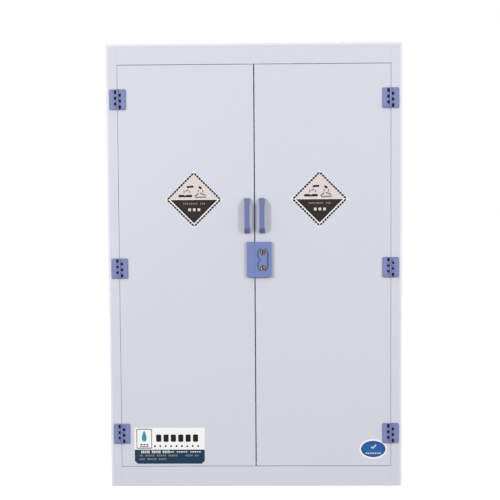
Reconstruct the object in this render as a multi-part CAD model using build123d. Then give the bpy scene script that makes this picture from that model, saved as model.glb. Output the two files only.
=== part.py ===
"""Two-door polypropylene storage cabinet for corrosive liquids, about 45 gallon class.

Millimetres, +Z up. The origin is the centre of the base on the floor, the doors face -Y and
+X is to the right of someone facing them. The doors are shown closed and unlocked.
"""
from build123d import *
import math
import os

# ---- driving dimensions -------------------------------------------------------------------
WIDTH, DEPTH, HEIGHT = 1090.0, 460.0, 1650.0
SHEET = 8.0                      # welded polypropylene sheet of the carcass
EDGE = 0.6                       # broken edge of every sheet
FRONT, BACK = -DEPTH / 2, DEPTH / 2
HALF = WIDTH / 2

STILE_WIDTH, RAIL_HEIGHT = 40.0, 75.0
OPEN_X = HALF - STILE_WIDTH                    # half width of the door opening
OPEN_LOW, OPEN_HIGH = RAIL_HEIGHT, HEIGHT - RAIL_HEIGHT

DOOR_THICK = 30.0
DOOR_CORE, DOOR_LINER = 16.0, 6.0              # edge strips and inner panel
SIDE_GAP, END_GAP, CENTRE_GAP = 1.0, 1.6, 3.5
DOOR_BACK = FRONT + DOOR_THICK
STOP_GAP, STOP_OVERLAP = 0.8, 12.0             # stops behind the doors
STOP_FRONT = DOOR_BACK + STOP_GAP
STOP_BACK = STOP_FRONT + SHEET
STOP_X = OPEN_X - STOP_OVERLAP

SUMP_FLOOR, SUMP_LIP = 25.0, 87.0
RUNNER_WIDTH = 60.0

SHELF_PITCH, SLOT_FIRST, SLOT_COUNT = 50.0, 150.0, 29
SHELF_SLOTS = {"lower": 6, "middle": 14, "upper": 22}
SHELF_HALF, SHELF_FRONT, SHELF_BACK = 520.0, -183.0, 215.0
LIP_THICK, LIP_UP, LIP_DOWN = 8.0, 17.0, 15.0
STANDARD_THICK, STANDARD_WIDTH = 12.0, 40.0
STANDARD_Y = (-120.0, 160.0)
SLOT_WIDTH, SLOT_HEIGHT = 16.0, 6.2
CLIP_REACH, CLIP_DROP = 20.0, 24.0

HINGE_X, HINGE_PROUD = 503.0, 6.0              # hinge axis: half spacing, distance off the face
HINGE_Y = FRONT - HINGE_PROUD
HINGE_Z = (200.5, 822.5, 1447.5)
HINGE_HALF, HINGE_HEIGHT = 30.0, 75.0
LEAF_THICK, BARREL_R, PIN_R = 5.5, 4.3, 2.3
PIN_CLEARANCE = 0.05
NOTCH_REACH = 12.9                             # how far a knuckle notch runs from the axis
NOTCH_WALL = 3.0                               # wall that closes the notch at the end of a leaf
KNUCKLES = (16.5, 10.5, 10.5, 10.5, 10.5, 16.5)    # heights from the top
KNUCKLE_GAP = 0.3
COVER = (15.0, 26.8, 62.0)                     # near edge, far edge and height of a leaf's cover
COVER_THICK, COVER_CORNER = 1.3, 2.0
HINGE_SCREW_R, HINGE_SCREW_HEAD_R, HINGE_SCREW_HEAD = 2.0, 4.0, 2.0
HINGE_SCREW_X, HINGE_SCREW_Z, HINGE_SCREW_LENGTH = 20.9, 22.0, 18.0

HANDLE_X, HANDLE_Z = 27.6, 1016.6
HANDLE_HEIGHT, HANDLE_REACH, HANDLE_BAR = 130.0, 38.0, 9.0
HANDLE_FOOT_WIDTH, HANDLE_WAIST = 21.8, 19.4
HANDLE_FOOT = 14.0
HANDLE_SHOULDER = ((18.0, 26.0, 9.0), (15.0, 22.0, 6.0))    # run, rise and corner radius: outside, inside
HANDLE_ROUND, HANDLE_TIP = 2.4, 4.0             # long edges; front-view corners of the ends

LOCK_Z, LOCK_HEIGHT, LOCK_THICK, LOCK_WALL = 853.5, 131.5, 17.0, 7.5
KEEPER = (-29.7, -0.6)
CASE = (-0.1, 61.6)
LOCK_CORNERS = (8.0, 2.5)                      # front-view radii of the bottom and top corners
LOCK_RIM = 2.0
LOCK_X = 29.8
LOCK_CYLINDERS = {"upper": 881.4, "lower": 823.6}
LOCK_FRONT = FRONT - LOCK_THICK
POCKET_HALF = 40.0                             # half height of the space the cams sweep
KEEPER_POCKET, CASE_POCKET = -20.0, 41.0
ISLAND = (21.6, 45.0, 9.0, 12.0)              # half width, half height, notch depth, notch half height
GROOVE_WIDTH, GROOVE_DEPTH = 6.6, 5.0
GROOVE_BREAK = 16.0                            # the groove stops short at the top and bottom
SLEEVE_R, PLUG_R, SLEEVE_PROUD, SLEEVE_BACK = 10.0, 7.4, 1.5, 10.0
KEYWAY = (2.4, 8.6, 7.0)                       # width, height, depth
CAM_REACH, CAM_WIDTH, CAM_THICK = 42.0, 12.0, 3.0
CAM_BACK = {"upper": 1.5, "lower": 5.5}        # clear space between cam and door
TAIL_R = 3.5

FIT_SCREW_R, FIT_SCREW_HEAD_R, FIT_SCREW_HEAD = 2.5, 5.0, 2.5
FIT_SCREW_GRIP = 10.0                          # depth into the handle, keeper or lock case
HOLE_CLEARANCE = 0.1

PLACARD_SIDE, PLACARD_THICK, PLACARD_CORNER = 150.0, 0.6, 3.0
PLACARDS = {"left": (-224.6, 1077.2), "right": (240.8, 1077.3)}
PLATE_X, PLATE_Z, PLATE_CORNER, PLATE_THICK = (-457.0, -192.0), (84.7, 222.0), 11.0, 0.8
OVAL_CENTRE, OVAL_SIZE, OVAL_THICK = (438.8, 139.8), (102.5, 75.0), 0.5


# ---- helpers ------------------------------------------------------------------------------
def board(x, y, z, edge=EDGE):
    """A flat piece between the (low, high) pairs x, y and z, with its edges broken."""
    size = [high - low for low, high in (x, y, z)]
    centre = [(low + high) / 2 for low, high in (x, y, z)]
    solid = Pos(*centre) * Box(*size)
    return chamfer(solid.edges(), edge) if edge else solid


def rod_y(x, z, radius, front, back):
    """A round bar or hole along Y, from front to back."""
    length = back - front
    return Pos(x, (front + back) / 2, z) * Rot(X=90) * Cylinder(radius, length)


def rod_z(x, y, radius, low, high):
    """A round bar or hole along Z, from low to high."""
    return Pos(x, y, (low + high) / 2) * Cylinder(radius, high - low)


def plate_y(face, front, back):
    """A face drawn on the front view (X, Z), given a thickness from front to back along Y."""
    standing = Pos(0, back, 0) * Rot(X=90) * face
    return extrude(standing, amount=back - front, dir=(0, -1, 0))


def flipped(shape):
    """The same piece on the other side of the cabinet."""
    return mirror(shape, about=Plane.YZ)


def save(name, *solids):
    """Write one sub-part, as one solid or as a group of separate solids."""
    shape = solids[0] if len(solids) == 1 else Compound(children=list(solids))
    export_step(shape, os.path.join("parts", name + ".step"))


# ---- fastener positions -------------------------------------------------------------------
def hinge_screw_places(sign):
    """Front-view positions of the screws on one side of the hinges: +1 frame, -1 door."""
    x = HINGE_X + sign * HINGE_SCREW_X
    return [(x, z + dz) for z in HINGE_Z for dz in (-HINGE_SCREW_Z, HINGE_SCREW_Z)]


HANDLE_SCREWS = [(HANDLE_X, HANDLE_Z + s * (HANDLE_HEIGHT / 2 - HANDLE_FOOT / 2)) for s in (-1, 1)]
LOCK_SCREW_Z = [LOCK_Z + s * (LOCK_HEIGHT / 2 - 13.0) for s in (-1, 1)]
KEEPER_SCREWS = [(KEEPER[0] + 13.0, z) for z in LOCK_SCREW_Z]
CASE_SCREWS = [(x, z) for x in (CASE[0] + 10.0, CASE[1] - 9.0) for z in LOCK_SCREW_Z]


def drilled(solid, places, radius):
    """The solid with clearance holes through it along Y."""
    for x, z in places:
        solid -= rod_y(x, z, radius + HOLE_CLEARANCE, FRONT - 60, BACK)
    return solid


# ---- carcass ------------------------------------------------------------------------------
def make_carcass():
    inner = HALF - SHEET
    under = HEIGHT - SHEET
    behind = FRONT + SHEET                                     # back of the face frame boards
    side = board((inner, HALF), (FRONT, BACK), (0, HEIGHT))
    stile = board((OPEN_X, inner), (FRONT, behind), (0, under))
    stile = drilled(stile, hinge_screw_places(+1), HINGE_SCREW_R)
    jamb = board((OPEN_X, OPEN_X + SHEET), (behind, STOP_FRONT), (OPEN_LOW - SHEET, OPEN_HIGH + SHEET))
    stop = board((STOP_X, inner), (STOP_FRONT, STOP_BACK), (SUMP_FLOOR, under))
    for name, solid in (("side_panel", side), ("stile", stile), ("jamb", jamb), ("stop", stop)):
        save("right_" + name, solid)
        save("left_" + name, flipped(solid))

    across = (-inner, inner)
    save("back_panel", board(across, (BACK - SHEET, BACK), (0, HEIGHT)))
    save("top_panel", board(across, (FRONT, BACK - SHEET), (under, HEIGHT)))
    save("sump_floor", board(across, (behind, BACK - SHEET), (SUMP_FLOOR - SHEET, SUMP_FLOOR)))

    between_stiles = (-OPEN_X, OPEN_X)
    save("top_rail", board(between_stiles, (FRONT, behind), (OPEN_HIGH, under)))
    save("bottom_rail", board(between_stiles, (FRONT, behind), (0, OPEN_LOW)))
    save("head_jamb", board(between_stiles, (behind, STOP_FRONT), (OPEN_HIGH, OPEN_HIGH + SHEET)))
    save("door_sill", board(between_stiles, (behind, STOP_FRONT), (OPEN_LOW - SHEET, OPEN_LOW)))

    between_stops = (-STOP_X, STOP_X)
    stop_y = (STOP_FRONT, STOP_BACK)
    save("top_stop", board(between_stops, stop_y, (OPEN_HIGH - STOP_OVERLAP, under)))
    save("sump_dam", board(between_stops, stop_y, (SUMP_FLOOR, SUMP_LIP)))

    runner_x = (-inner + RUNNER_WIDTH / 2, 0, inner - RUNNER_WIDTH / 2)
    half = RUNNER_WIDTH / 2
    runner_z = (0, SUMP_FLOOR - SHEET)
    runners = [board((x - half, x + half), (behind, BACK - SHEET), runner_z) for x in runner_x]
    save("base_runners", *runners)


# ---- shelves ------------------------------------------------------------------------------
def slot_bottom(index):
    return SLOT_FIRST + SHELF_PITCH * index


def shelf_underside(level):
    return slot_bottom(SHELF_SLOTS[level]) + SLOT_HEIGHT


def make_standard(y):
    """A slotted upright on the inside of the right side panel."""
    inner = HALF - SHEET
    half = STANDARD_WIDTH / 2
    top = slot_bottom(SLOT_COUNT - 1) + SHELF_PITCH
    upright = board((inner - STANDARD_THICK, inner), (y - half, y + half), (SLOT_FIRST - SHELF_PITCH, top))
    for index in range(SLOT_COUNT):
        low = slot_bottom(index)
        cut = (y - SLOT_WIDTH / 2, y + SLOT_WIDTH / 2)
        upright -= board((inner - STANDARD_THICK - 1, inner), cut, (low, low + SLOT_HEIGHT), edge=0)
    return upright


def make_clip(y, level):
    """A moulded clip: a tongue in the upright's slot and a ledge with a gusset below it."""
    inner = HALF - SHEET
    face = inner - STANDARD_THICK
    top = shelf_underside(level)
    bottom = top - SLOT_HEIGHT + 0.2
    profile = Polyline(
        (inner - 0.2, top), (face - CLIP_REACH, top), (face - CLIP_REACH, bottom),
        (face - 4, top - CLIP_DROP), (face, top - CLIP_DROP), (face, bottom),
        (inner - 0.2, bottom), close=True)
    width = SLOT_WIDTH - 0.4
    side_view = Pos(0, y + width / 2, 0) * Rot(X=90) * make_face(profile)
    return extrude(side_view, amount=width, dir=(0, -1, 0))


def make_shelves():
    standards = [make_standard(y) for y in STANDARD_Y]
    save("shelf_standards", *standards, *[flipped(s) for s in standards])
    clips = [make_clip(y, level) for y in STANDARD_Y for level in SHELF_SLOTS]
    save("shelf_clips", *clips, *[flipped(c) for c in clips])

    for level in SHELF_SLOTS:
        low = shelf_underside(level)
        high = low + SHEET
        inside = (SHELF_FRONT + LIP_THICK, SHELF_BACK - LIP_THICK)
        across = (-SHELF_HALF, SHELF_HALF)
        save(level + "_shelf_board", board(across, inside, (low, high)))
        lip_z = (low - LIP_DOWN, high + LIP_UP)
        front_lip = board(across, (SHELF_FRONT, inside[0]), lip_z, edge=1.5)
        back_lip = board(across, (inside[1], SHELF_BACK), lip_z, edge=1.5)
        side_lip = board((SHELF_HALF - LIP_THICK, SHELF_HALF), inside, (high, high + LIP_UP))
        save(level + "_shelf_lips", front_lip, back_lip, side_lip, flipped(side_lip))


# ---- doors --------------------------------------------------------------------------------
def make_door(side):
    """One double-skinned door: outer panel, strips round the edge, ribs and inner panel.

    It is drawn as the right-hand door and flipped for the left one.
    """
    place = flipped if side == "left" else (lambda solid: solid)
    low_x, high_x = CENTRE_GAP / 2, OPEN_X - SIDE_GAP
    low_z, high_z = OPEN_LOW + END_GAP, OPEN_HIGH - END_GAP
    core_front = FRONT + SHEET
    core_back = core_front + DOOR_CORE
    fit_screws = HANDLE_SCREWS + (CASE_SCREWS if side == "right" else [(-x, z) for x, z in KEEPER_SCREWS])
    hinge_screws = hinge_screw_places(-1)

    outer = board((low_x, high_x), (FRONT, core_front), (low_z, high_z), edge=0.9)
    outer = drilled(outer, fit_screws, FIT_SCREW_R)
    outer = drilled(outer, hinge_screws, HINGE_SCREW_R)
    save(side + "_door_outer_panel", place(outer))

    hinge_strip, free_strip, end_strip = 45.0, 76.0, 45.0
    core = (core_front, core_back)
    middle_z = (low_z + end_strip, high_z - end_strip)
    strips = [
        board((low_x, high_x), core, (low_z, low_z + end_strip)),
        board((low_x, high_x), core, (high_z - end_strip, high_z)),
        drilled(board((high_x - hinge_strip, high_x), core, middle_z), hinge_screws, HINGE_SCREW_R),
        drilled(board((low_x, low_x + free_strip), core, middle_z), fit_screws, FIT_SCREW_R),
    ]
    save(side + "_door_edge_strips", *[place(strip) for strip in strips])

    rib_height, rib_count = 50.0, 3
    spacing = (middle_z[1] - middle_z[0]) / (rib_count + 1)
    rib_x = (low_x + free_strip, high_x - hinge_strip)
    ribs = []
    for index in range(1, rib_count + 1):
        z = middle_z[0] + spacing * index
        ribs.append(place(board(rib_x, core, (z - rib_height / 2, z + rib_height / 2))))
    save(side + "_door_ribs", *ribs)

    inset = 1.0
    liner = board((low_x + inset, high_x - inset), (core_back, DOOR_BACK),
                  (low_z + inset, high_z - inset), edge=0.9)
    save(side + "_door_inner_panel", place(drilled(liner, fit_screws, FIT_SCREW_R)))

    screws = []
    for x, z in fit_screws:
        shank = rod_y(x, z, FIT_SCREW_R, FRONT - FIT_SCREW_GRIP, DOOR_BACK)
        head = rod_y(x, z, FIT_SCREW_HEAD_R, DOOR_BACK, DOOR_BACK + FIT_SCREW_HEAD)
        head = fillet(head.edges().sort_by(Axis.Y)[-1], 1.2)
        screws.append(place(shank + head))
    save(side + "_fitting_screws", *screws)


# ---- hinges -------------------------------------------------------------------------------
def knuckle_spans():
    """(low, high) of each knuckle from the top, about the hinge's mid height."""
    top = HINGE_HEIGHT / 2
    spans = []
    for height in KNUCKLES:
        spans.append((top - height, top))
        top -= height
    return spans


def make_leaf(sign, bore_r):
    """One hinge leaf about an axis at the origin, standing on the plane Y = HINGE_PROUD.

    sign +1 is the right-hand leaf, which has the top knuckle, and -1 the left-hand one.
    """
    back, front = HINGE_PROUD, HINGE_PROUD - LEAF_THICK
    half_z = HINGE_HEIGHT / 2
    corner = 4.0
    outline = make_face(RectangleRounded(2 * HINGE_HALF, HINGE_HEIGHT, corner).wire())
    leaf = plate_y(outline, front, back)
    rim = leaf.faces().sort_by(Axis.Y)[0].edges()
    leaf = chamfer(rim, 1.2)
    leaf &= board((0, sign * HINGE_HALF) if sign > 0 else (-HINGE_HALF, 0),
                  (front - 1, back), (-half_z, half_z), edge=0)
    cylinders = []
    for index, (low, high) in enumerate(knuckle_spans()):
        own = index % 2 == (0 if sign > 0 else 1)
        low_gap = 0 if index == len(KNUCKLES) - 1 else KNUCKLE_GAP / 2
        high_gap = 0 if index == 0 else KNUCKLE_GAP / 2
        if own:
            cylinders.append(rod_z(0, 0, BARREL_R, low + low_gap, high - high_gap))
        else:
            reach = (0, NOTCH_REACH) if sign > 0 else (-NOTCH_REACH, 0)
            clear = (0, BARREL_R + 2 * KNUCKLE_GAP) if sign > 0 else (-BARREL_R - 2 * KNUCKLE_GAP, 0)
            high_wall = NOTCH_WALL if index == 0 else -high_gap
            low_wall = NOTCH_WALL if index == len(KNUCKLES) - 1 else -low_gap
            leaf -= board(reach, (front - 1, back + 1), (low + low_wall, high - high_wall), edge=0)
            leaf -= board(clear, (front - 1, back + 1), (low - low_gap, high + high_gap), edge=0)
    for cylinder in cylinders:
        leaf += cylinder
    leaf -= rod_z(0, 0, bore_r, -half_z - 1, half_z + 1)

    near, far, height = COVER
    middle = sign * (near + far) / 2
    seat = Pos(middle, 0) * RectangleRounded(far - near, height, COVER_CORNER)
    leaf -= plate_y(seat, front - 1, front + COVER_THICK)
    head_floor = front + COVER_THICK + HINGE_SCREW_HEAD + 0.1
    for dz in (-HINGE_SCREW_Z, HINGE_SCREW_Z):
        x = sign * HINGE_SCREW_X
        leaf -= rod_y(x, dz, HINGE_SCREW_HEAD_R + 0.2, front, head_floor)
        leaf -= rod_y(x, dz, HINGE_SCREW_R + HOLE_CLEARANCE, front, back + 1)
    return leaf


def make_cover(sign):
    """The snap-in cover that hides a leaf's screws, proud of it by a hair."""
    front = HINGE_PROUD - LEAF_THICK
    near, far, height = COVER
    clearance = 0.1
    size = (far - near - 2 * clearance, height - 2 * clearance)
    face = Pos(sign * (near + far) / 2, 0) * RectangleRounded(*size, COVER_CORNER)
    cover = plate_y(face, front - 0.2, front + COVER_THICK)
    return chamfer(cover.faces().sort_by(Axis.Y)[0].edges(), 0.35)


def make_hinge_screw():
    """Pan-head screw, pointing into the door or frame; its head rests on the origin's plane."""
    shank = rod_y(0, 0, HINGE_SCREW_R, 0, HINGE_SCREW_LENGTH)
    head = rod_y(0, 0, HINGE_SCREW_HEAD_R, -HINGE_SCREW_HEAD, 0)
    return shank + head


def make_hinges():
    """Six hinges of one pattern, so each side's top knuckle is on its right-hand leaf."""
    half_z = HINGE_HEIGHT / 2
    frame_covers, frame_screws, pins = [], [], []
    seat_y = HINGE_Y + HINGE_PROUD - LEAF_THICK + COVER_THICK + HINGE_SCREW_HEAD + 0.1
    for side, x in (("left", -HINGE_X), ("right", HINGE_X)):
        frame_sign = -1 if side == "left" else 1
        door_sign = -frame_sign
        frame_leaf = make_leaf(frame_sign, PIN_R)
        door_leaf = make_leaf(door_sign, PIN_R + PIN_CLEARANCE)
        places = [Pos(x, HINGE_Y, z) for z in HINGE_Z]
        save(side + "_frame_hinge_leaves", *[place * frame_leaf for place in places])
        save(side + "_door_hinge_leaves", *[place * door_leaf for place in places])
        save(side + "_door_hinge_covers", *[place * make_cover(door_sign) for place in places])
        frame_covers += [place * make_cover(frame_sign) for place in places]
        pins += [place * Cylinder(PIN_R, 2 * half_z) for place in places]
        screw = make_hinge_screw()
        door_screws = []
        for z in HINGE_Z:
            for dz in (-HINGE_SCREW_Z, HINGE_SCREW_Z):
                frame_screws.append(Pos(x + frame_sign * HINGE_SCREW_X, seat_y, z + dz) * screw)
                door_screws.append(Pos(x + door_sign * HINGE_SCREW_X, seat_y, z + dz) * screw)
        save(side + "_door_hinge_screws", *door_screws)
    save("frame_hinge_covers", *frame_covers)
    save("frame_hinge_screws", *frame_screws)
    save("hinge_pins", *pins)


# ---- handles ------------------------------------------------------------------------------
def bow_outline(half, reach, shoulder):
    """Side view of the bow, mirrored about the door's face: straight feet, then sloping shoulders."""
    run, rise, corner = shoulder
    quarter = [(reach, half - run), (reach - rise, half)]
    points = quarter + [(-y, z) for y, z in quarter[::-1]]
    points += [(-y, -z) for y, z in quarter] + [(y, -z) for y, z in quarter[::-1]]
    face = make_face(Polyline(*points, close=True))
    return fillet(face.vertices(), corner)


def make_handle():
    """A bow handle, drawn round the door's face at X = 0, Z = 0: Y runs from 0 to -reach."""
    half = HANDLE_HEIGHT / 2
    outside = bow_outline(half, HANDLE_REACH, HANDLE_SHOULDER[0])
    inside = bow_outline(half - HANDLE_FOOT, HANDLE_REACH - HANDLE_BAR, HANDLE_SHOULDER[1])
    bow = Rot(Y=90) * Rot(Z=90) * (outside - inside)
    bow = extrude(bow, amount=HANDLE_FOOT_WIDTH, both=True)
    bow &= board((-HANDLE_FOOT_WIDTH, HANDLE_FOOT_WIDTH), (-HANDLE_REACH, 0), (-half, half), edge=0)

    waist, foot = HANDLE_WAIST / 2, HANDLE_FOOT_WIDTH / 2
    flare = half - 20.0
    right_edge = [Line((foot, -half), (foot, -half + 6)),
                  Spline((foot, -half + 6), (waist, -flare), tangents=[(0, 1), (0, 1)]),
                  Line((waist, -flare), (waist, flare)),
                  Spline((waist, flare), (foot, half - 6), tangents=[(0, 1), (0, 1)]),
                  Line((foot, half - 6), (foot, half))]
    left_edge = [mirror(edge, about=Plane.YZ) for edge in right_edge]
    ends = [Line((-foot, s * half), (foot, s * half)) for s in (-1, 1)]
    silhouette = make_face(right_edge + left_edge + ends)
    handle = bow & plate_y(silhouette, -HANDLE_REACH - 1, 1)
    long_edges = handle.edges().filter_by(lambda edge: abs(edge.center().X) > waist - 1.5)
    long_edges = long_edges.filter_by(lambda edge: edge.center().Y < -0.5)
    handle = fillet(long_edges, HANDLE_ROUND)
    handle &= plate_y(RectangleRounded(2 * foot, 2 * half, HANDLE_TIP), -HANDLE_REACH - 1, 1)
    for s in (-1, 1):
        foot_z = s * (half - HANDLE_FOOT / 2)
        handle -= rod_y(0, foot_z, FIT_SCREW_R + HOLE_CLEARANCE, -FIT_SCREW_GRIP - 0.5, 1)
    return handle


# ---- lock ---------------------------------------------------------------------------------
def island(half_width, half_height, notch_depth, notch_half):
    """A stadium on end with a V cut into its left side, drawn about its own centre."""
    stadium = Rectangle(2 * half_width, 2 * half_height)
    stadium = fillet(stadium.vertices(), half_width - 0.01)
    left = -half_width
    notch = Polyline((left - 1, notch_half), (left + notch_depth, 0), (left - 1, -notch_half), close=True)
    return stadium - make_face(notch)


def lock_block(x_range, outer_x):
    """A block with its two outer corners rounded and its front rim softened, save at the seam."""
    half = LOCK_HEIGHT / 2
    block = board(x_range, (LOCK_FRONT, FRONT), (LOCK_Z - half, LOCK_Z + half), edge=0)
    for radius, side in zip(LOCK_CORNERS, (-1, 1)):
        upright = block.edges().filter_by(Axis.Y)
        corner = upright.sort_by(lambda edge: math.dist((edge.center().X, edge.center().Z),
                                                        (outer_x, LOCK_Z + side * half)))[0]
        block = fillet(corner, radius)
    rim = block.faces().sort_by(Axis.Y)[0].edges()
    seam = [edge for edge in rim if abs(edge.center().X - outer_x) > (x_range[1] - x_range[0]) - 0.1]
    return fillet([edge for edge in rim if edge not in seam], LOCK_RIM)


def cam_space(x_range):
    low, high = LOCK_Z - POCKET_HALF, LOCK_Z + POCKET_HALF
    return board(x_range, (LOCK_FRONT + LOCK_WALL, FRONT + 1), (low, high), edge=0)


def make_cam(level):
    """A flat arm on the end of a lock plug; it hangs straight towards the other lock."""
    towards = -1 if level == "upper" else 1
    z = LOCK_CYLINDERS[level]
    back = FRONT - CAM_BACK[level]
    arm = SlotOverall(CAM_REACH + CAM_WIDTH / 2, CAM_WIDTH)
    centre_z = z + towards * (CAM_REACH - CAM_WIDTH / 2) / 2
    arm = Pos(LOCK_X, centre_z) * Rot(Z=90) * arm
    cam = plate_y(arm, back - CAM_THICK, back)
    return cam - rod_y(LOCK_X, z, TAIL_R, FRONT - 60, FRONT)


def make_plug(level):
    """The turning core of one lock, with its keyway and the tail that carries the cam."""
    z = LOCK_CYLINDERS[level]
    cam_back = FRONT - CAM_BACK[level]
    cam_front = cam_back - CAM_THICK
    front = LOCK_FRONT - SLEEVE_PROUD + 0.3
    plug = rod_y(LOCK_X, z, PLUG_R, front, cam_front)
    plug += rod_y(LOCK_X, z, TAIL_R, cam_front, cam_back)
    width, height, depth = KEYWAY
    half_w, half_h = width / 2, height / 2
    keyway = board((LOCK_X - half_w, LOCK_X + half_w), (front - 1, front + depth),
                   (z - half_h, z + half_h), edge=0)
    return plug - keyway


def make_lock():
    keeper = lock_block(KEEPER, KEEPER[0]) - cam_space((KEEPER_POCKET, KEEPER[1] + 1))
    case = lock_block(CASE, CASE[1]) - cam_space((CASE[0] - 1, CASE_POCKET))
    for x, z in KEEPER_SCREWS:
        keeper -= rod_y(x, z, FIT_SCREW_R + HOLE_CLEARANCE, FRONT - FIT_SCREW_GRIP - 0.5, FRONT + 1)
    for x, z in CASE_SCREWS:
        case -= rod_y(x, z, FIT_SCREW_R + HOLE_CLEARANCE, FRONT - FIT_SCREW_GRIP - 0.5, FRONT + 1)

    half_w, half_h, depth, notch_half = ISLAND
    outline = island(half_w, half_h, depth, notch_half)
    kept = island(half_w - GROOVE_WIDTH, half_h - GROOVE_WIDTH, depth + 1.0, notch_half)
    gap = Pos(0, half_h) * Rectangle(GROOVE_BREAK, half_h) + Pos(0, -half_h) * Rectangle(GROOVE_BREAK, half_h)
    groove = Pos(LOCK_X, LOCK_Z) * (outline - kept - gap)
    case -= plate_y(groove, LOCK_FRONT - 1, LOCK_FRONT + GROOVE_DEPTH)
    sleeves = []
    for level, z in LOCK_CYLINDERS.items():
        case -= rod_y(LOCK_X, z, SLEEVE_R, LOCK_FRONT - 1, LOCK_FRONT + LOCK_WALL + 1)
        front = LOCK_FRONT - SLEEVE_PROUD
        sleeve_back = FRONT - CAM_BACK["lower"] - CAM_THICK - 0.2
        sleeve = rod_y(LOCK_X, z, SLEEVE_R - 0.02, front, sleeve_back)
        sleeve -= rod_y(LOCK_X, z, PLUG_R + PIN_CLEARANCE, front - 1, sleeve_back + 1)
        sleeves.append(chamfer(sleeve.edges().sort_by(Axis.Y)[0:1], 0.4))
        save(level + "_lock_plug", make_plug(level))
        save(level + "_lock_cam", make_cam(level))
    save("keeper_block", keeper)
    save("lock_case", case)
    save("lock_sleeves", *sleeves)


# ---- labels -------------------------------------------------------------------------------
def make_labels():
    for side, (x, z) in PLACARDS.items():
        diamond = Pos(x, z) * Rot(Z=45) * RectangleRounded(PLACARD_SIDE, PLACARD_SIDE, PLACARD_CORNER)
        save(side + "_placard", plate_y(diamond, FRONT - PLACARD_THICK, FRONT))

    (low_x, high_x), (low_z, high_z), c = PLATE_X, PLATE_Z, PLATE_CORNER
    outline = Polyline((low_x, high_z), (low_x, low_z + c), (low_x + c, low_z), (high_x - c, low_z),
                       (high_x, low_z + c), (high_x, high_z), close=True)
    save("information_plate", plate_y(make_face(outline), FRONT - PLATE_THICK, FRONT))

    oval = Pos(*OVAL_CENTRE) * Ellipse(OVAL_SIZE[0] / 2, OVAL_SIZE[1] / 2)
    sticker = plate_y(oval, FRONT - OVAL_THICK, FRONT)
    hinge_low, margin = HINGE_Z[0] - HINGE_HEIGHT / 2, 0.3
    sticker -= board((HINGE_X - HINGE_HALF - margin, HINGE_X), (FRONT - 5, FRONT + 1),
                     (hinge_low - margin, hinge_low + HINGE_HEIGHT), edge=0)
    save("oval_label", sticker)


def main():
    os.makedirs("parts", exist_ok=True)
    make_carcass()
    make_shelves()
    make_door("left")
    make_door("right")
    make_hinges()
    handle = make_handle()
    save("right_handle", Pos(HANDLE_X, FRONT, HANDLE_Z) * handle)
    save("left_handle", Pos(-HANDLE_X, FRONT, HANDLE_Z) * handle)
    make_lock()
    make_labels()


main()
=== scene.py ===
"""Looks of a two-door polypropylene cabinet for corrosive liquids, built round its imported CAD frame."""
import math

import bmesh
import bpy
from mathutils import Matrix, Vector


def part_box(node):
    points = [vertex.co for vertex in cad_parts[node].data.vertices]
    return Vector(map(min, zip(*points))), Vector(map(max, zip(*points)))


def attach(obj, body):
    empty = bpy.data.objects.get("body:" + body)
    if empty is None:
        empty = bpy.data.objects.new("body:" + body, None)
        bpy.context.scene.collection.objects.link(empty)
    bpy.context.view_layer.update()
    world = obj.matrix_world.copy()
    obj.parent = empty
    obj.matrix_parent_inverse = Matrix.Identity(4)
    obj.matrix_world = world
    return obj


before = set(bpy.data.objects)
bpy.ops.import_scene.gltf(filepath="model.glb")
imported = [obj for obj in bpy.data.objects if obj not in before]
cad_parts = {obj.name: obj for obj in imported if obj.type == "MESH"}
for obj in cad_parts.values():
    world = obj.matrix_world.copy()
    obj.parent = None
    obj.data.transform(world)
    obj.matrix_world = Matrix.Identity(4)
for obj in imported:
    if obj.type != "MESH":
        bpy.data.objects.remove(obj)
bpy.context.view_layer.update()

MM = 0.001
FACE_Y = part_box("left_door_outer_panel")[0].y          # plane of the doors' faces
INK = 0.08 * MM                                        # thickness of printed ink

# ---- camera and light, in metres and degrees ----------------------------------------------
CAMERA_AT = (0.065, FACE_Y - 4.447, 1.168)
CAMERA_YAW, CAMERA_PITCH, CAMERA_ROLL = -1.068, -3.589, -0.383
CAMERA_LENS, SENSOR = 86.4, 36.0

KEY_DISTANCE, KEY_SWING, KEY_HEIGHT, KEY_SIZE, KEY_POWER = 6.0, 33.5, 2.30, 0.85, 113.0
KEY_BIAS = 0.14                                        # the left key is stronger by this share
BACK_DISTANCE, BACK_SWING, BACK_HEIGHT, BACK_SIZE, BACK_POWER = 5.5, 140.0, 1.95, 1.6, 80.0
SKY, GROUND = 0.635, 0.355                             # ambient light from above and below
BACKDROP_RADIUS, FLOOR_HALF = 30.0, 28.0

# ---- colours, linear ----------------------------------------------------------------------
SHEET_WHITE = (0.696, 0.706, 0.781)
FITTING_WHITE = (0.720, 0.735, 0.800)
HANDLE_BLUE = (0.150, 0.190, 0.405)
LOCK_BLUE = (0.184, 0.242, 0.508)
HINGE_BLUE = (0.200, 0.232, 0.478)
COVER_BLUE = (0.225, 0.265, 0.505)
# painted shade: near-black blue for the floors of the hinge notches, where shadow falls
NOTCH_SHADE_BLUE = (0.024, 0.022, 0.042)
BRASS = (0.270, 0.205, 0.115)
STEEL = (0.560, 0.560, 0.580)
PAPER = (0.985, 0.985, 0.985)
PINK_PAPER = (0.765, 0.690, 0.678)
DARK_INK = (0.027, 0.019, 0.017)
BLACK_INK = (0.010, 0.010, 0.010)
GREY_INK = (0.235, 0.225, 0.225)
NAVY = (0.010, 0.044, 0.090)
OVAL_BLUE = (0.022, 0.120, 0.400)
EMBLEM_TEAL = (0.050, 0.300, 0.420)
MARK_WHITE = (0.720, 0.710, 0.700)

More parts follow.
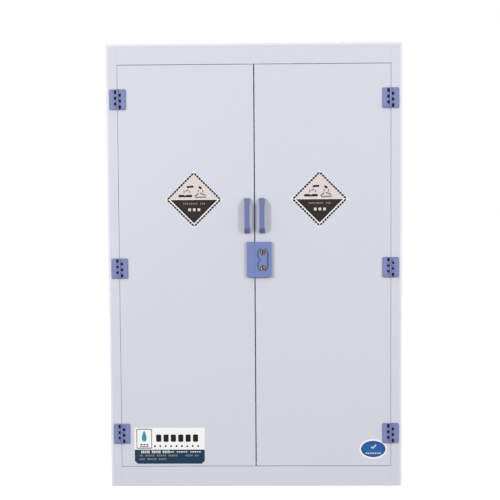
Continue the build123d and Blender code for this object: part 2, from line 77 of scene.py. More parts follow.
# ---- sizes in millimetres, or in metres where MM is written in ----------------------------
KNUCKLES = (16.5, 10.5, 10.5, 10.5, 10.5, 16.5)        # heights from the top of a hinge
HINGE_PIN_RADIUS = 2.3
NOTCH_INNER = {"frame": 2.2, "door": -0.8}             # from the hinge's axis
NOTCH_OUTER, NOTCH_WALL, NOTCH_RELIEF, NOTCH_CLEAR = 12.7, 3.1, 0.9, 0.1

PLACARD_CORNER = 1.24                                  # what the rounding takes off each corner
PALE_INSET, DARK_INSET, RIM_INSET, DASH_INSET = 8.4, 12.6, 15.6, 5.0
DASH_COUNT, DASH_LENGTH, DASH_WEIGHT, DASH_CORNER = 12, 8.4, 7.2, 0.8
DASH_SPREAD = 0.96                                     # share of each side, so that corners stay clear
BORDER_LINE = (3.9, 6.1)                               # insets of the line that joins the dashes
HALF_SPLIT = 0.8                                       # half the gap between the two tones

PLATE_RIM, PLATE_CUT, BAND_SHARE = 0.8, 11.0, 0.398
OVAL_ASPECT = 75.0 / 102.5
OVAL_BLUE_HALF, OVAL_RIM = (46.0, 31.0), 5.0

WELD, SMALL_WELD, LINER_WELD = 3.2 * MM, 2.0 * MM, 1.0 * MM
RIPPLE, RIPPLE_STEPS, WELD_STEPS = 7.0 * MM, 4, 5      # a bead's ripple, its rings, its points round
TRAY_LIP = 8.0 * MM


# ---- node helpers -------------------------------------------------------------------------
class Nodes:
    """A short way to write a material's node tree."""

    def __init__(self, name):
        self.material = bpy.data.materials.new(name)
        self.material.use_nodes = True
        self.tree = self.material.node_tree
        self.shader = self.tree.nodes["Principled BSDF"]

    def add(self, kind, **inputs):
        """A node of that kind; each input is a value or another node's output socket."""
        node = self.tree.nodes.new(kind)
        for key, value in inputs.items():
            self.put(node.inputs[key.replace("_", " ")], value)
        return node

    def put(self, socket, value):
        if isinstance(value, bpy.types.NodeSocket):
            self.tree.links.new(value, socket)
        else:
            socket.default_value = value

    def place(self):
        return self.tree.nodes.new("ShaderNodeTexCoord").outputs["Object"]

    def noise(self, where, scale, detail=3.0, roughness=0.5):
        node = self.add("ShaderNodeTexNoise", Scale=scale, Detail=detail, Roughness=roughness, Vector=where)
        return node.outputs["Fac"]

    def remap(self, value, low, high, to_low, to_high):
        node = self.add("ShaderNodeMapRange", Value=value)
        node.inputs["From Min"].default_value = low
        node.inputs["From Max"].default_value = high
        node.inputs["To Min"].default_value = to_low
        node.inputs["To Max"].default_value = to_high
        return node.outputs["Result"]

    def mix(self, factor, first, second, blend="MIX"):
        node = self.tree.nodes.new("ShaderNodeMix")
        node.data_type = "RGBA"
        node.blend_type = blend
        factor_in, first_in, second_in = node.inputs[0], node.inputs[6], node.inputs[7]
        for socket, value in ((factor_in, factor), (first_in, first), (second_in, second)):
            if isinstance(value, tuple):
                value = (*value, 1.0)
            self.put(socket, value)
        return node.outputs[2]

    def bump(self, height, distance, strength, normal=None):
        node = self.add("ShaderNodeBump", Height=height, Distance=distance, Strength=strength)
        if normal is not None:
            self.tree.links.new(normal, node.inputs["Normal"])
        return node.outputs["Normal"]

    def edges(self, radius):
        """1 on sharp edges and 0 on flats, from how far a rounded normal leans from the true one."""
        rounded = self.tree.nodes.new("ShaderNodeBevel")
        rounded.samples = 6
        rounded.inputs["Radius"].default_value = radius
        true_normal = self.tree.nodes.new("ShaderNodeNewGeometry").outputs["Normal"]
        lean = self.tree.nodes.new("ShaderNodeVectorMath")
        lean.operation = "DOT_PRODUCT"
        self.tree.links.new(rounded.outputs["Normal"], lean.inputs[0])
        self.tree.links.new(true_normal, lean.inputs[1])
        return self.remap(lean.outputs["Value"], 0.995, 0.80, 0.0, 1.0)

    def corners(self, distance):
        """Ambient occlusion, 0 in tight inner corners and 1 in the open: the mask for shade painted into
        corners.
        """
        node = self.tree.nodes.new("ShaderNodeAmbientOcclusion")
        node.samples = 6
        node.only_local = False
        node.inputs["Distance"].default_value = distance
        return node.outputs["AO"]


def scaled(colour, factor):
    return tuple(channel * factor for channel in colour)


def moulded(name, colour, grain=1400.0, rough=(0.36, 0.50), relief=0.03 * MM, cloud=0.05, edge=1.25,
            corner=0.80, shade_distance=6 * MM):
    """Plastic: cloudy colour, fine grain, paler worn edges, and painted shade darkening its inner corners."""
    n = Nodes(name)
    where = n.place()
    clouds = n.noise(where, 9.0, 5.0, 0.6)
    base = n.mix(clouds, scaled(colour, 1 - cloud), scaled(colour, 1 + cloud))
    worn = n.remap(n.noise(where, 160.0, 4.0), 0.35, 0.7, 0.3, 1.0)
    wear = n.tree.nodes.new("ShaderNodeMath")
    wear.operation = "MULTIPLY"
    n.put(wear.inputs[0], n.edges(0.9 * MM))
    n.put(wear.inputs[1], worn)
    base = n.mix(wear.outputs[0], base, tuple(min(1.0, c * edge + 0.01) for c in colour))
    # Painted shade: inner corners, found by ambient occlusion, are darkened to corner times the colour.
    unshaded_share = n.remap(n.corners(shade_distance), 0.35, 0.95, 0.0, 1.0)
    base = n.mix(unshaded_share, scaled(colour, corner), base)
    n.put(n.shader.inputs["Base Color"], base)
    n.put(n.shader.inputs["Roughness"], n.remap(n.noise(where, 45.0, 4.0), 0.3, 0.7, *rough))
    fine = n.bump(n.noise(where, grain, 2.0), relief, 0.35)
    n.put(n.shader.inputs["Normal"], n.bump(n.noise(where, 28.0, 2.0), 0.25 * MM, 0.12, fine))
    n.put(n.shader.inputs["IOR"], 1.49)
    return n.material


def sheet_plastic(name, colour, rough=(0.36, 0.46), sawn_front=False):
    """Pressed polypropylene sheet: nearly even, with a faint drift of tone and a soft orange peel, a painted
    highlight along its edges and painted shade in its inner corners.

    Where a sheet ends in the front plane, its sawn edge is paler than its faces.
    """
    n = Nodes(name)
    where = n.place()
    drift = n.noise(where, 1.6, 3.0)
    mottle = n.noise(where, 36.0, 5.0, 0.65)
    base = n.mix(drift, scaled(colour, 0.982), scaled(colour, 1.018))
    base = n.mix(n.remap(mottle, 0.35, 0.75, 0.0, 0.35), base, scaled(colour, 0.972))
    # Painted highlight: every edge is made 4% paler.
    base = n.mix(n.edges(0.8 * MM), base, scaled(colour, 1.04))
    # Painted shade: inner corners, found by ambient occlusion, are darkened to 0.86 of the colour.
    unshaded_share = n.remap(n.corners(9 * MM), 0.25, 0.95, 0.0, 1.0)
    base = n.mix(unshaded_share, scaled(colour, 0.86), base)
    if sawn_front:
        split = n.add("ShaderNodeSeparateXYZ", Vector=where)
        at_front = n.remap(split.outputs["Y"], FACE_Y + 0.6 * MM, FACE_Y + 0.3 * MM, 0.0, 1.0)
        strokes = n.add("ShaderNodeMapping", Vector=where)
        strokes.inputs["Scale"].default_value = (30.0, 30.0, 2.0)
        sawn = n.mix(n.noise(strokes.outputs["Vector"], 8.0, 4.0), scaled(colour, 1.12), scaled(colour, 1.21))
        base = n.mix(at_front, base, sawn)
    n.put(n.shader.inputs["Base Color"], base)
    n.put(n.shader.inputs["Roughness"], n.remap(n.noise(where, 22.0, 5.0), 0.3, 0.7, *rough))
    peel = n.bump(n.noise(where, 420.0, 2.0), 0.04 * MM, 0.25)
    n.put(n.shader.inputs["Normal"], n.bump(n.noise(where, 5.0, 1.0), 1.2 * MM, 0.05, peel))
    n.put(n.shader.inputs["IOR"], 1.49)
    return n.material


def weld_plastic(name, colour):
    """Hot-gas weld rod: glossier than the sheet, and wavy along its length."""
    n = Nodes(name)
    where = n.place()
    base = n.mix(n.noise(where, 90.0, 4.0), scaled(colour, 0.93), scaled(colour, 1.03))
    n.put(n.shader.inputs["Base Color"], base)
    n.put(n.shader.inputs["Roughness"], n.remap(n.noise(where, 150.0, 3.0), 0.3, 0.7, 0.22, 0.42))
    n.put(n.shader.inputs["Normal"], n.bump(n.noise(where, 300.0, 3.0), 0.15 * MM, 0.5))
    n.put(n.shader.inputs["IOR"], 1.49)
    return n.material


def metal(name, colour, rough, brush, tarnish):
    """Turned or brushed metal with fine scratches, paler edges and patches of tarnish."""
    n = Nodes(name)
    where = n.place()
    stretched = n.add("ShaderNodeMapping", Vector=where)
    stretched.inputs["Scale"].default_value = brush
    scratches = n.noise(stretched.outputs["Vector"], 900.0, 5.0, 0.65)
    patches = n.remap(n.noise(where, 240.0, 5.0, 0.6), 0.42, 0.68, 0.0, 1.0)
    base = n.mix(scratches, scaled(colour, 0.82), scaled(colour, 1.14))
    base = n.mix(patches, base, tarnish)
    base = n.mix(n.edges(0.5 * MM), base, tuple(min(1.0, c * 1.5) for c in colour))
    n.put(n.shader.inputs["Base Color"], base)
    n.put(n.shader.inputs["Metallic"], 1.0)
    n.put(n.shader.inputs["Roughness"], n.remap(scratches, 0.3, 0.7, rough - 0.07, rough + 0.1))
    n.put(n.shader.inputs["Normal"], n.bump(scratches, 0.02 * MM, 0.5))
    return n.material


def printed(name, colour, mottle=0.03, rough=0.34):
    """Printed vinyl: even ink with a fine dot grain and a slight unevenness of gloss."""
    n = Nodes(name)
    where = n.place()
    soft = n.mix(n.noise(where, 24.0, 4.0), scaled(colour, 1 - mottle), scaled(colour, 1 + mottle))
    dots = n.add("ShaderNodeTexVoronoi", Scale=1900.0, Vector=where).outputs["Distance"]
    base = n.mix(n.remap(dots, 0.1, 0.6, 0.0, 0.25), soft, scaled(colour, 0.93))
    n.put(n.shader.inputs["Base Color"], base)
    gloss = n.remap(n.noise(where, 60.0, 3.0), 0.3, 0.7, rough - 0.05, rough + 0.07)
    n.put(n.shader.inputs["Roughness"], gloss)
    n.put(n.shader.inputs["Normal"], n.bump(n.noise(where, 700.0, 2.0), 0.02 * MM, 0.3))
    n.put(n.shader.inputs["IOR"], 1.38)
    return n.material


# ---- geometry helpers ---------------------------------------------------------------------
def add_piece(name, mesh, material, body):
    piece = bpy.data.objects.new(name, mesh)
    bpy.context.scene.collection.objects.link(piece)
    mesh.materials.append(material)
    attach(piece, body)
    return piece


def finished_mesh(name, bm):
    bmesh.ops.recalc_face_normals(bm, faces=bm.faces)
    mesh = bpy.data.meshes.new(name)
    bm.to_mesh(mesh)
    bm.free()
    return mesh


def prism(bm, outline, back, front):
    """A closed slab: an outline of (x, z) points between two planes of Y."""
    near = [bm.verts.new((x, front, z)) for x, z in outline]
    far = [bm.verts.new((x, back, z)) for x, z in outline]
    bm.faces.new(near)
    bm.faces.new(far[::-1])
    for i in range(len(outline)):
        j = (i + 1) % len(outline)
        bm.faces.new((near[i], near[j], far[j], far[i]))


def slabs(name, outlines, back, thickness, material, body):
    """One piece made of flat slabs standing proud of the plane Y = back, towards -Y."""
    bm = bmesh.new()
    for outline in outlines:
        prism(bm, outline, back, back - thickness)
    return add_piece(name, finished_mesh(name, bm), material, body)


def ring(name, outer, inner, back, material, body):
    """A flat closed band between two outlines with the same number of points."""
    bm = bmesh.new()
    loops = []
    for y in (back, back - INK):
        loops.append([[bm.verts.new((x, y, z)) for x, z in outline] for outline in (outer, inner)])
    (far_out, far_in), (near_out, near_in) = loops
    count = len(outer)
    for i in range(count):
        j = (i + 1) % count
        for a, b in ((near_out, near_in), (near_in, far_in), (far_in, far_out), (far_out, near_out)):
            bm.faces.new((a[i], a[j], b[j], b[i]))
    return add_piece(name, finished_mesh(name, bm), material, body)


def bar(x, z, width, height, turn=0.0, round_ends=0.0):
    """A rectangle about (x, z), turned by degrees, with its corners rounded by the given radius."""
    points = []
    half_w, half_h = width / 2, height / 2
    steps = 4 if round_ends else 0
    for corner, (sx, sz) in enumerate(((1, 1), (-1, 1), (-1, -1), (1, -1))):
        for k in range(steps + 1):
            a = math.radians(90 * corner + 90 * k / max(steps, 1))
            px = sx * (half_w - round_ends) + round_ends * math.cos(a)
            pz = sz * (half_h - round_ends) + round_ends * math.sin(a)
            points.append((px, pz))
    c, s = math.cos(math.radians(turn)), math.sin(math.radians(turn))
    return [(x + px * c - pz * s, z + px * s + pz * c) for px, pz in points]


def ellipse(x, z, half_w, half_h, count=72):
    turns = [2 * math.pi * k / count for k in range(count)]
    return [(x + half_w * math.cos(a), z + half_h * math.sin(a)) for a in turns]


def drop(x, z, size, count=28):
    """A falling drop, point upwards."""
    points = []
    for k in range(count):
        a = 2 * math.pi * k / count
        narrow = (1 - math.sin(a)) / 2
        points.append((x + 0.62 * size * math.cos(a) * (0.25 + 0.75 * narrow), z + size * math.sin(a)))
    return points


def shifted(points, x, z):
    return [(x + px, z + pz) for px, pz in points]


# ---- CAD nodes ----------------------------------------------------------------------------
def finish_cad_nodes():
    sheet = sheet_plastic("white_sheet", SHEET_WHITE)
    shell = sheet_plastic("white_sheet_sawn", SHEET_WHITE, rough=(0.60, 0.70), sawn_front=True)
    # The corner arguments below set how dark each plastic's inner corners are painted as shade.
    fitting = moulded("white_fitting", FITTING_WHITE, rough=(0.34, 0.44), cloud=0.02, edge=1.04, corner=0.88)
    handle = moulded("handle_blue", HANDLE_BLUE)
    lock = moulded("lock_blue", LOCK_BLUE, shade_distance=4 * MM, corner=0.62)
    hinge = moulded("hinge_blue", HINGE_BLUE, shade_distance=5 * MM, corner=0.45)
    cover = moulded("cover_blue", COVER_BLUE, shade_distance=3 * MM, corner=0.75)
    brass = metal("lock_brass", BRASS, 0.34, (1.0, 1.0, 0.2), (0.16, 0.11, 0.06))
    steel = metal("stainless", STEEL, 0.30, (1.0, 1.0, 0.15), (0.42, 0.42, 0.43))
    paper = printed("label_white", PAPER, mottle=0.012)
    by_ending = {
        "side_panel": shell, "top_panel": shell,
        "hinge_leaves": hinge, "hinge_covers": cover, "hinge_screws": steel, "hinge_pins": steel,
        "fitting_screws": steel, "lock_cam": steel, "lock_plug": brass, "lock_sleeves": brass,
        "_handle": handle, "keeper_block": lock, "lock_case": lock,
        "shelf_standards": fitting, "shelf_clips": fitting,
        "placard": paper, "information_plate": paper, "oval_label": paper,
    }
    for name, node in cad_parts.items():
        chosen = next((m for ending, m in by_ending.items() if name.endswith(ending)), sheet)
        node.data.materials.clear()
        node.data.materials.append(chosen)


# ---- hinge notches and the shade painted on their floors ----------------------------------
def hinge_notch_shade_floors():
    """Near-black moulded floors in the gaps beside each hinge's knuckles, where the leaves are open: painted
    shade for the shadow deep in those gaps.
    """
    dark = moulded("notch_painted_shade", NOTCH_SHADE_BLUE, rough=(0.70, 0.85), cloud=0.08, edge=1.1, corner=0.6)
    dark.node_tree.nodes["Principled BSDF"].inputs["Specular IOR Level"].default_value = 0.08
    pins_low, pins_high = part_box("hinge_pins")
    pitch = (pins_high.z - pins_low.z - sum(KNUCKLES) * MM) / 2
    for side, sign in (("left", -1), ("right", 1)):
        axis_x = sign * (pins_high.x - HINGE_PIN_RADIUS * MM)
        for part, body in (("frame", "carcass"), ("door", side + "_door")):
            outward = sign if part == "frame" else -sign
            near = axis_x + outward * NOTCH_INNER[part] * MM
            far = axis_x + outward * NOTCH_OUTER * MM
            bm = bmesh.new()
            for hinge in range(3):
                for low, high in notch_spans(pins_high.z - hinge * pitch, 1 if outward > 0 else 0):
                    outline = bar((near + far) / 2, (low + high) / 2, abs(far - near), high - low)
                    prism(bm, outline, FACE_Y - 0.02 * MM, FACE_Y - NOTCH_RELIEF * MM)
            name = f"{side}_{part}_hinge_notch_shade"
            add_piece(name, finished_mesh(name, bm), dark, body)


def notch_spans(top, first):
    """Low and high ends of every second knuckle below the top of a hinge, from the first or second."""
    spans = []
    for k, height in enumerate(KNUCKLES):
        low = top - height * MM
        if k % 2 == first:
            below = NOTCH_WALL if k == len(KNUCKLES) - 1 else NOTCH_CLEAR
            above = NOTCH_WALL if k == 0 else NOTCH_CLEAR
            spans.append((low + below * MM, top - above * MM))
        top = low
    return spans


# ---- placards -----------------------------------------------------------------------------
def placard(side):
    """A generic two-tone diamond: dashed border, pale upper half with drops, dark lower half."""
    low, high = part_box(side + "_placard")
    cx, cz, back = (low.x + high.x) / 2, (low.z + high.z) / 2, low.y
    reach = (high.x - low.x) / 2 + PLACARD_CORNER * MM     # to the sharp corner of the diamond
    body = side + "_door"
    over = back - INK

    def inset(distance):
        """Half diagonal of the diamond this far inside the edge."""
        return reach - distance * MM * math.sqrt(2)

    def printed_layer(name, outlines, ink, plane=over):
        slabs(f"{side}_placard_{name}", outlines, plane, INK, inks[ink], body)

    split = HALF_SPLIT * MM
    pale_r, dark_r, rim_r = inset(PALE_INSET), inset(DARK_INSET), inset(RIM_INSET)
    pale = [(cx - pale_r + split, cz + split), (cx + pale_r - split, cz + split), (cx, cz + pale_r)]
    printed_layer("pale_half", [pale], "pink", back)
    dark = [(cx + dark_r - split, cz - split), (cx - dark_r + split, cz - split), (cx, cz - dark_r)]
    printed_layer("dark_half", [dark], "dark", back)
    for sign, name in ((-1, "left_rim"), (1, "right_rim")):
        edge = [(cx + sign * (dark_r - 2.4 * split), cz - split), (cx, cz - dark_r + split),
                (cx, cz - rim_r + split), (cx + sign * (rim_r - 2.4 * split), cz - split)]
        printed_layer(name, [edge], "black")

    dashes = []
    corners = [Vector((x, z)) * inset(DASH_INSET) for x, z in ((1, 0), (0, 1), (-1, 0), (0, -1))]
    for quarter, start in enumerate(corners):
        end = corners[(quarter + 1) % 4]
        for k in range(DASH_COUNT):
            share = (k + 0.5) / DASH_COUNT
            at = start.lerp(end, 0.5 + (share - 0.5) * DASH_SPREAD)
            dashes.append(bar(cx + at.x, cz + at.y, DASH_LENGTH * MM, DASH_WEIGHT * MM, 90 * quarter + 135,
                              DASH_CORNER * MM))
    line = [ellipse(cx, cz, inset(edge), inset(edge), 4) for edge in BORDER_LINE]
    ring(side + "_placard_border_line", *line, back, inks["dark"], body)
    printed_layer("dashes", dashes, "dark")

    for name, ink, outlines in placard_marks():
        layer = [shifted([(x * MM, z * MM) for x, z in outline], cx, cz) for outline in outlines]
        printed_layer(name, layer, ink)


def placard_marks():
    """Abstract marks on the diamond, in millimetres from its centre: (name, ink, outlines)."""
    eaten_slab = [(-57, 9), (-6.5, 9), (-6.5, 18), (-26, 18), (-29, 16), (-32, 15.4), (-35, 16),
                  (-38, 18), (-57, 18)]
    return (
        ("slabs", "black", [eaten_slab, bar(-13.5, 47.5, 25, 7.5, 5, 2.4), bar(23.5, 44, 13, 8.5, -28, 3.0)]),
        ("drops", "grey", [drop(-36, 30, 6.0), drop(-15, 30, 5.4), bar(-25, 34, 13, 5.0, 28, 2.0),
                           drop(17, 33, 5.2), drop(33, 32, 5.6), bar(10.5, 17, 19, 5.5, 38, 2.4),
                           bar(33, 20, 22, 5.5, -20, 2.4), bar(26, 8.5, 42, 5.0, 3, 2.2)]),
        ("small_marks", "grey", [bar(-38.5 + 7.0 * k, -15, 4.6 if k % 3 else 3.2, 6.6, 0, 0.8)
                                 for k in range(12) if k != 8]),
        ("large_marks", "pale", [bar(17 * k + 1, -37.5, 10, 10.5, 0, 1.8) for k in (-1, 0, 1)]),
    )


# ---- information plate --------------------------------------------------------------------
def information_plate():
    """White above, navy below, with plain bars where a maker's words would be."""
    low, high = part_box("information_plate")
    back, body = low.y, "left_door"
    width, tall = high.x - low.x, high.z - low.z

    def at(u, v):
        """A point from shares of the plate's width and height, from its lower left corner."""
        return low.x + u * width, low.z + v * tall

    rim, cut, band_top = PLATE_RIM * MM, PLATE_CUT * MM, low.z + BAND_SHARE * tall
    left, right, base = low.x + rim, high.x - rim, low.z + rim
    band = [(left, band_top), (left, base + cut), (left + cut, base), (right - cut, base),
            (right, base + cut), (right, band_top)]
    slabs("plate_navy_band", [band], back, INK, inks["navy"], body)

    over = back - INK
    # share of the height, share of it that the bars take, ends as shares of the width, count, ink
    rows = ((0.335, 0.072, (0.065, 0.50), 17, "pale"), (0.335, 0.036, (0.50, 0.975), 15, "pale"),
            (0.235, 0.052, (0.065, 0.64), 21, "grey"), (0.235, 0.052, (0.72, 0.91), 7, "grey"),
            (0.135, 0.050, (0.065, 0.45), 14, "grey"))
    for tone in ("pale", "grey"):
        outlines = []
        for v, height, (start, end), count, ink in rows:
            if ink != tone:
                continue
            pitch = (end - start) * width / count
            for k in range(count):
                if (k * 7 + count) % 6 == 5:
                    continue
                x, z = at(start, v)
                tall_bar = height * tall * (1.0 if k % 3 else 0.8)
                outlines.append(bar(x + (k + 0.5) * pitch, z, pitch * 0.74, tall_bar, 0, 0.5 * MM))
        slabs(f"plate_small_rows_{tone}", outlines, over, INK, inks[tone], body)

    headline = []
    for k in range(6):
        x, z = at(0.345 + 0.1045 * k, 0.715)
        headline.append(bar(x, z, 0.074 * width, 0.205 * tall, 0, 5 * MM))
    slabs("plate_headline", headline, back, INK, inks["black"], body)
    dots = []
    for k in range(9):
        x, z = at(0.29 + 0.0767 * k, 0.495)
        dots.append(bar(x, z, 0.024 * width, 0.05 * tall, 0, 1.6 * MM))
    slabs("plate_dot_row", dots, back, INK, inks["dark"], body)

    x, z = at(0.140, 0.700)
    outer = bar(x, z, 0.222 * width, 0.555 * tall, 0, 4 * MM)
    inner = bar(x, z, 0.198 * width, 0.500 * tall, 0, 3 * MM)
    ring("plate_emblem_frame", outer, inner, back, inks["grey"], body)
    emblem = drop(x, z + 0.075 * tall, 0.15 * tall)
    slabs("plate_emblem", [emblem], back, INK, inks["teal"], body)
    under = [bar(x + (k - 1) * 11 * MM, z - 0.165 * tall, 7.5 * MM, 5 * MM, 0, 1 * MM) for k in range(3)]
    under.append(bar(x, z - 0.222 * tall, 34 * MM, 3 * MM, 0, 1 * MM))
    slabs("plate_emblem_marks", under, back, INK, inks["dark"], body)


# ---- oval label ---------------------------------------------------------------------------
def oval_label():
    """A blue oval in the white one, with a tick and a row of dots."""
    low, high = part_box("oval_label")
    cx, cz = (low.x + high.x) / 2, low.z + (high.x - low.x) * OVAL_ASPECT / 2
    back, body = low.y, "right_door"
    half_w, half_h = (half * MM for half in OVAL_BLUE_HALF)
    rim = OVAL_RIM * MM
    slabs("oval_blue_rim", [ellipse(cx, cz, half_w, half_h)], back, INK, inks["oval_rim"], body)
    over = back - INK
    slabs("oval_blue_field", [ellipse(cx, cz, half_w - rim, half_h - rim)], over, INK,
          inks["oval"], body)
    over -= INK
    tick = [(-9, 9), (-5.5, 12.5), (-1.5, 8.0), (9, 20), (12.5, 16.5), (-1.5, 1.5)]
    tick = shifted([(x * MM, z * MM) for x, z in tick], cx, cz - 2 * MM)
    slabs("oval_tick", [tick], over, INK, inks["pale"], body)
    dots = [bar(cx + 8.4 * k * MM, cz - 16 * MM, 5.6 * MM, 5.2 * MM, 0, 1.3 * MM) for k in range(-3, 4)]
    slabs("oval_dot_row", dots, over, INK, inks["pale"], body)


# ---- weld beads ---------------------------------------------------------------------------
X_DIR, Y_DIR, Z_DIR = Vector((1, 0, 0)), Vector((0, 1, 0)), Vector((0, 0, 1))


def bead(bm, start, end, first, second, radius, phase):
    """A hot-gas weld along a corner: a rounded fillet that ripples as the rod was fed in."""
    start, end = Vector(start), Vector(end)
    first, second = Vector(first), Vector(second)
    along = (end - start).normalized()
    length = (end - start).length
    count = max(2, int(length / RIPPLE * RIPPLE_STEPS))
    rings = []
    for i in range(count + 1):
        s = length * i / count
        swell = 1 + 0.10 * math.sin(2 * math.pi * s / RIPPLE + phase) + 0.05 * math.sin(37.0 * s + 3 * phase)
        centre = start + along * s
        loop = [bm.verts.new(centre)]
        for k in range(WELD_STEPS + 1):
            a = math.pi / 2 * k / WELD_STEPS
            loop.append(bm.verts.new(centre + radius * swell * (first * math.cos(a) + second * math.sin(a))))
        rings.append(loop)
    for lower, upper in zip(rings, rings[1:]):
        for i in range(len(lower)):
            j = (i + 1) % len(lower)
            bm.faces.new((lower[i], lower[j], upper[j], upper[i]))
    bm.faces.new(rings[0][::-1])
    bm.faces.new(rings[-1])


def inner_corner_welds(weld):
    """The seams between the carcass's sheets, seen from inside."""
    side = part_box("left_side_panel")[1].x
    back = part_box("back_panel")[0].y
    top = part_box("top_panel")[0].z
    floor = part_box("sump_floor")[1].z
    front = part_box("left_stop")[1].y
    bm = bmesh.new()
    for sign in (-1, 1):
        x, inward = -sign * side, -X_DIR * sign
        bead(bm, (x, back, floor), (x, back, top), inward, -Y_DIR, WELD, 1.0 + sign)
        bead(bm, (x, front, floor), (x, back, floor), inward, Z_DIR, WELD, 2.0 + sign)
        bead(bm, (x, front, top), (x, back, top), inward, -Z_DIR, WELD, 3.0 + sign)
        bead(bm, (x, front, floor), (x, front, top), inward, Y_DIR, WELD, 4.0 + sign)
    bead(bm, (side, back, floor), (-side, back, floor), -Y_DIR, Z_DIR, WELD, 5.0)
    bead(bm, (side, back, top), (-side, back, top), -Y_DIR, -Z_DIR, WELD, 6.0)
    bead(bm, (side, front, top), (-side, front, top), Y_DIR, -Z_DIR, WELD, 7.0)
    bead(bm, (side, front, floor), (-side, front, floor), Y_DIR, Z_DIR, WELD, 8.0)
    name = "inner_corner_welds"
    add_piece(name, finished_mesh(name, bm), weld, "carcass")


def door_rebate_welds(weld):
    """The corner between the stops and the jambs, which the doors lie in."""
    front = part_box("left_stop")[0].y
    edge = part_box("right_stile")[0].x
    sill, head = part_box("door_sill")[1].z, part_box("head_jamb")[0].z
    bm = bmesh.new()
    for sign in (-1, 1):
        x = sign * edge
        bead(bm, (x, front, sill), (x, front, head), -X_DIR * sign, -Y_DIR, SMALL_WELD, 1.5 + sign)
    bead(bm, (-edge, front, head), (edge, front, head), -Z_DIR, -Y_DIR, SMALL_WELD, 2.5)
    bead(bm, (-edge, front, sill), (edge, front, sill), Z_DIR, -Y_DIR, SMALL_WELD, 3.5)
    name = "door_rebate_welds"
    add_piece(name, finished_mesh(name, bm), weld, "carcass")


def shelf_welds(weld):
    """The seams between each shelf's board and its four lips."""
    for level in ("lower", "middle", "upper"):
        low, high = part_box(level + "_shelf_board")
        x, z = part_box(level + "_shelf_lips")[1].x - TRAY_LIP, high.z
        bm = bmesh.new()
        for sign in (-1, 1):
            end_x, inward = sign * x, -X_DIR * sign
            bead(bm, (end_x, low.y, z), (end_x, high.y, z), inward, Z_DIR, SMALL_WELD, 1.0 + sign)
        bead(bm, (-x, low.y, z), (x, low.y, z), Y_DIR, Z_DIR, SMALL_WELD, 2.0)
        bead(bm, (-x, high.y, z), (x, high.y, z), -Y_DIR, Z_DIR, SMALL_WELD, 3.0)
        name = level + "_shelf_welds"
        add_piece(name, finished_mesh(name, bm), weld, "carcass")


def door_liner_welds(weld):
    """The seam round each door's inner panel."""
    for side in ("left", "right"):
        low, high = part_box(side + "_door_inner_panel")
        corners = ((low.x, low.z), (high.x, low.z), (high.x, high.z), (low.x, high.z))
        outward = (-Z_DIR, X_DIR, Z_DIR, -X_DIR)
        bm = bmesh.new()
        for k in range(4):
            (x0, z0), (x1, z1) = corners[k], corners[(k + 1) % 4]
            bead(bm, (x0, low.y, z0), (x1, low.y, z1), outward[k], Y_DIR, LINER_WELD, 0.7 * k)
        name = side + "_door_liner_welds"
        add_piece(name, finished_mesh(name, bm), weld, side + "_door")


# ---- lock cylinders -----------------------------------------------------------------------
def lock_details():
    """A turned ring on the face of each plug, and the dark depth of its keyway."""
    brass = metal("ring_brass", scaled(BRASS, 1.15), 0.28, (1.0, 1.0, 0.3), (0.20, 0.14, 0.07))
    dark = printed("keyway_shadow", (0.012, 0.010, 0.008), 0.02, 0.6)
    height = 0.25 * MM
    # radius in millimetres and share of the ring's height, round the ring's section
    section = ((6.9, 0.0), (6.9, 0.6), (6.6, 1.0), (6.2, 0.4), (6.2, 0.0))
    for level in ("upper", "lower"):
        low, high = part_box(level + "_lock_plug")
        cx, cz, y = (low.x + high.x) / 2, (low.z + high.z) / 2, low.y
        bm = bmesh.new()
        loops = []
        for radius, share in section:
            outline = ellipse(cx, cz, radius * MM, radius * MM, 40)
            loops.append([bm.verts.new((x, y - share * height, z)) for x, z in outline])
        for a, b in zip(loops, loops[1:] + loops[:1]):
            for i in range(len(a)):
                j = (i + 1) % len(a)
                bm.faces.new((a[i], a[j], b[j], b[i]))
        name = level + "_plug_ring"
        add_piece(name, finished_mesh(name, bm), brass, level + "_lock")
        keyway = bar(cx, cz, 2.3 * MM, 8.5 * MM)
        slabs(level + "_keyway_shadow", [keyway], y + 4 * MM, MM, dark, level + "_lock")


# ---- stage --------------------------------------------------------------------------------
def flat_emitter(name, colour, strength, albedo):
    material = bpy.data.materials.new(name)
    material.use_nodes = True
    shader = material.node_tree.nodes["Principled BSDF"]
    shader.inputs["Base Color"].default_value = (*albedo, 1.0)
    shader.inputs["Roughness"].default_value = 0.9
    shader.inputs["Specular IOR Level"].default_value = 0.0
    shader.inputs["Emission Color"].default_value = (*colour, 1.0)
    shader.inputs["Emission Strength"].default_value = strength
    return material


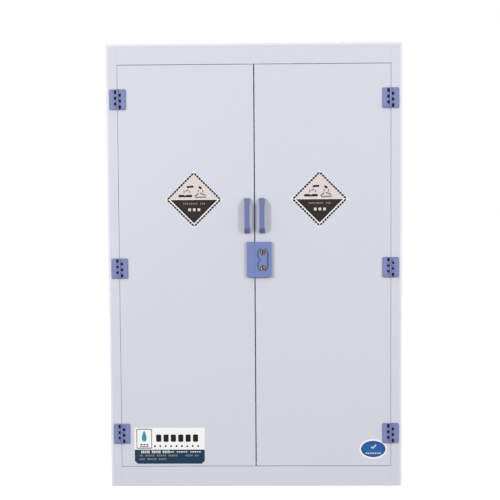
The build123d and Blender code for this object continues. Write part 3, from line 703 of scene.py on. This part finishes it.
def make_stage():
    bm = bmesh.new()
    corners = ((-1, -1), (1, -1), (1, 1), (-1, 1))
    bm.faces.new([bm.verts.new((x * FLOOR_HALF, y * FLOOR_HALF, 0)) for x, y in corners])
    floor = bpy.data.objects.new("floor", finished_mesh("floor", bm))
    floor.data.materials.append(flat_emitter("pale_floor", (1, 1, 1), 0.72, (0.55, 0.55, 0.56)))

    bm = bmesh.new()
    bmesh.ops.create_icosphere(bm, subdivisions=5, radius=BACKDROP_RADIUS)
    dome = bpy.data.objects.new("backdrop", finished_mesh("backdrop", bm))
    dome.data.materials.append(flat_emitter("pale_backdrop", (1, 1, 1), 1.0, (0, 0, 0)))
    for thing in (floor, dome):
        bpy.context.scene.collection.objects.link(thing)
        thing.visible_diffuse = False
        thing.visible_glossy = False
        thing.visible_shadow = False

    world = bpy.data.worlds.new("studio")
    bpy.context.scene.world = world
    world.use_nodes = True
    tree = world.node_tree
    where = tree.nodes.new("ShaderNodeTexCoord")
    split = tree.nodes.new("ShaderNodeSeparateXYZ")
    blend = tree.nodes.new("ShaderNodeMapRange")
    blend.interpolation_type = "SMOOTHSTEP"
    for key, value in (("From Min", -0.7), ("From Max", 0.7), ("To Min", GROUND), ("To Max", SKY)):
        blend.inputs[key].default_value = value
    tree.links.new(where.outputs["Generated"], split.inputs[0])
    tree.links.new(split.outputs["Z"], blend.inputs["Value"])
    tree.links.new(blend.outputs["Result"], tree.nodes["Background"].inputs["Strength"])
    tree.nodes["Background"].inputs["Color"].default_value = (1, 1, 1, 1)


def area_light(name, distance, swing, height, size, power, aim_z):
    """A round soft light, swung from the front by degrees (to the right is positive)."""
    a = math.radians(swing)
    spot = Vector((distance * math.sin(a), FACE_Y - distance * math.cos(a), height))
    light = bpy.data.lights.new(name, "AREA")
    light.shape = "DISK"
    light.size = size
    light.energy = power
    holder = bpy.data.objects.new(name, light)
    holder.location = spot
    holder.rotation_euler = (Vector((0, FACE_Y, aim_z)) - spot).to_track_quat("-Z", "Y").to_euler()
    bpy.context.scene.collection.objects.link(holder)
    return holder


def make_lights():
    """Two keys in front, and two broad lights behind that leave no glare on the top."""
    for name, sign in (("left", -1), ("right", 1)):
        power = KEY_POWER * (1 - KEY_BIAS * sign)
        area_light("key_" + name, KEY_DISTANCE, sign * KEY_SWING, KEY_HEIGHT, KEY_SIZE, power, 1.1)
        back = area_light("back_" + name, BACK_DISTANCE, sign * BACK_SWING, BACK_HEIGHT, BACK_SIZE,
                          BACK_POWER, 0.8)
        back.visible_glossy = False


def make_camera():
    yaw, pitch, roll = (math.radians(a) for a in (CAMERA_YAW, CAMERA_PITCH, CAMERA_ROLL))
    forward = Vector((math.sin(yaw) * math.cos(pitch), math.cos(yaw) * math.cos(pitch), math.sin(pitch)))
    level = Vector((math.cos(yaw), -math.sin(yaw), 0))
    upright = level.cross(forward)
    right = math.cos(roll) * level + math.sin(roll) * upright
    up = -math.sin(roll) * level + math.cos(roll) * upright
    data = bpy.data.cameras.new("camera")
    data.lens, data.sensor_width = CAMERA_LENS, SENSOR
    camera = bpy.data.objects.new("camera", data)
    turn = Matrix((right, up, -forward)).transposed().to_4x4()
    camera.matrix_world = Matrix.Translation(CAMERA_AT) @ turn
    bpy.context.scene.collection.objects.link(camera)
    bpy.context.scene.camera = camera


make_camera()
make_lights()
make_stage()
bpy.context.scene.view_settings.view_transform = "Standard"

inks = {
    "pink": printed("ink_pink", PINK_PAPER), "dark": printed("ink_dark", DARK_INK, 0.10),
    "black": printed("ink_black", BLACK_INK, 0.05), "grey": printed("ink_grey", GREY_INK, 0.05),
    "pale": printed("ink_pale", MARK_WHITE), "navy": printed("ink_navy", NAVY, 0.10),
    "oval": printed("ink_oval", OVAL_BLUE, 0.08), "oval_rim": printed("ink_oval_rim", scaled(OVAL_BLUE, 0.7)),
    "teal": printed("ink_teal", EMBLEM_TEAL),
}
finish_cad_nodes()
hinge_notch_shade_floors()
for side in ("left", "right"):
    placard(side)
information_plate()
oval_label()
weld_rod = weld_plastic("weld_rod", SHEET_WHITE)
for make_welds in (inner_corner_welds, door_rebate_welds, shelf_welds, door_liner_welds):
    make_welds(weld_rod)
lock_details()
